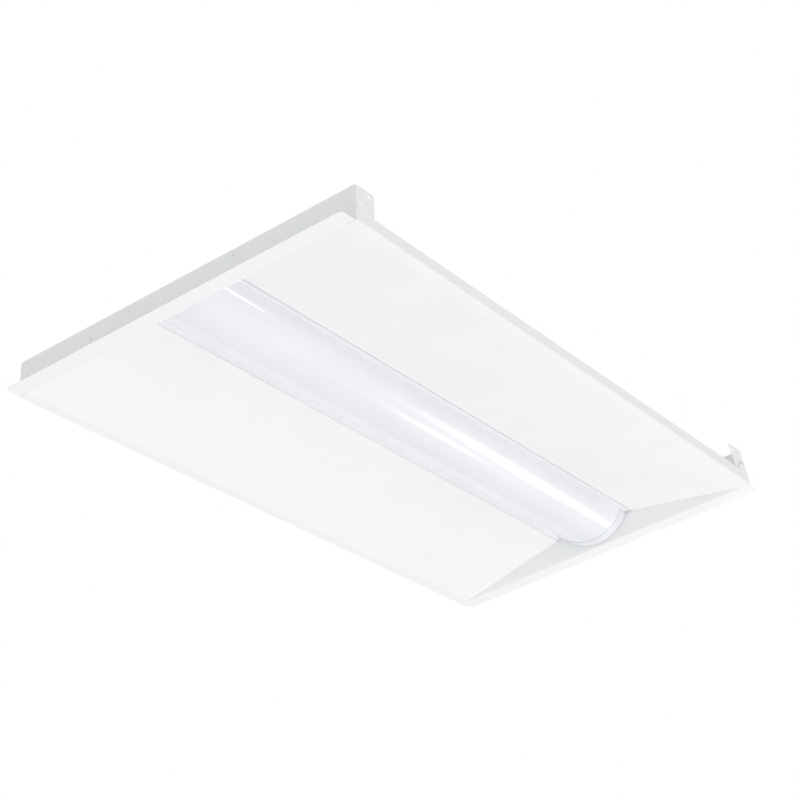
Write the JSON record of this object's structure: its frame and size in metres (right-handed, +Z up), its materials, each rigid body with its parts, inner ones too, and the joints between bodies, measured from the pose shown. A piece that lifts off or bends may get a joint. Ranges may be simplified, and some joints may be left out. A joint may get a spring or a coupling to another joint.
{
  "type": "recessed troffer light",
  "caption": "Recessed ceiling light with a domed frosted lens between sloped white reflectors, bent-steel flanges, fold-out grid clips and a driver box on its back.",
  "frame": {"origin": "middle of the lit face, in the plane of the flange's underside", "axes": "+X along the length, -Y the front long side, +Z up into the ceiling void"},
  "size_m": [1.213, 0.603, 0.0939],
  "materials": {
    "white_enamel": "semi-gloss white enamel on sheet steel",
    "bare_steel": "satin zinc-plated sheet steel",
    "frosted_lens": "frosted, glossy outside",
    "lens_cap": "milky moulded plastic",
    "board_white": "white solder mask",
    "chip_yellow": "phosphor-filled, smooth",
    "nylon": "moulded nylon",
    "spring_steel": "bare spring steel",
    "driver_case": "fine-textured moulding",
    "connector_grey": "moulded, smooth",
    "lead_insulation": "extruded insulation",
    "rubber": "moulded black rubber",
    "rivet_aluminium": "plain",
    "zinc_screw": "bright zinc plate",
    "ground_green": "green dyed screw"
  },
  "bodies": {
    "housing": {"end_plate_left": "white_enamel", "end_plate_right": "white_enamel", "side_panel_front": "white_enamel", "side_panel_rear": "white_enamel", "back_channel": "white_enamel", "led_tray": "white_enamel", "led_board_1": "board_white", "led_board_2": "board_white", "led_board_3": "board_white", "led_board_4": "board_white", "led_chips": "chip_yellow", "board_connectors": "nylon", "lens_springs": "spring_steel", "driver_box": "bare_steel", "knockout_disc": "bare_steel", "led_driver": "driver_case", "wire_connectors": "connector_grey", "supply_leads": "lead_insulation", "output_leads": "lead_insulation", "lead_grommet": "rubber", "end_rivets": "rivet_aluminium", "lip_rivets": "rivet_aluminium", "tray_screws": "zinc_screw", "box_screws": "zinc_screw", "driver_screws": "zinc_screw", "ground_screw": "ground_green", "access_screw": "zinc_screw", "access_pivot": "zinc_screw"},
    "lens_unit": {"lens": "frosted_lens", "lens_cap_left": "lens_cap", "lens_cap_right": "lens_cap"},
    "access_plate": {"access_plate": "bare_steel"},
    "clip_left_front": {"grid_clip_left_front": "white_enamel"},
    "clip_left_rear": {"grid_clip_left_rear": "white_enamel"},
    "clip_right_front": {"grid_clip_right_front": "white_enamel"},
    "clip_right_rear": {"grid_clip_right_rear": "white_enamel"}
  },
  "joints": [
    {"name": "lens_pull", "type": "slide", "parent": "housing", "child": "lens_unit", "axis": [0, 0, -1], "range_m": [0, 0.062]},
    {"name": "access_swing", "type": "hinge", "parent": "housing", "child": "access_plate", "pos_m": [-0.44968, 0.041, 0.0865], "axis": [0, 0, 1], "range_deg": [0, 95]},
    {"name": "clip_bend_left_front", "type": "hinge", "parent": "housing", "child": "clip_left_front", "pos_m": [-0.5752, -0.3015, 0], "axis": [-0.1747, 0, -0.9846], "range_deg": [0, 90]},
    {"name": "clip_bend_left_rear", "type": "hinge", "parent": "housing", "child": "clip_left_rear", "pos_m": [-0.5752, 0.3015, 0], "axis": [0.1747, 0, 0.9846], "range_deg": [0, 90]},
    {"name": "clip_bend_right_front", "type": "hinge", "parent": "housing", "child": "clip_right_front", "pos_m": [0.5752, -0.3015, 0], "axis": [-0.1747, 0, 0.9846], "range_deg": [0, 90]},
    {"name": "clip_bend_right_rear", "type": "hinge", "parent": "housing", "child": "clip_right_rear", "pos_m": [0.5752, 0.3015, 0], "axis": [0.1747, 0, -0.9846], "range_deg": [0, 90]}
  ]
}
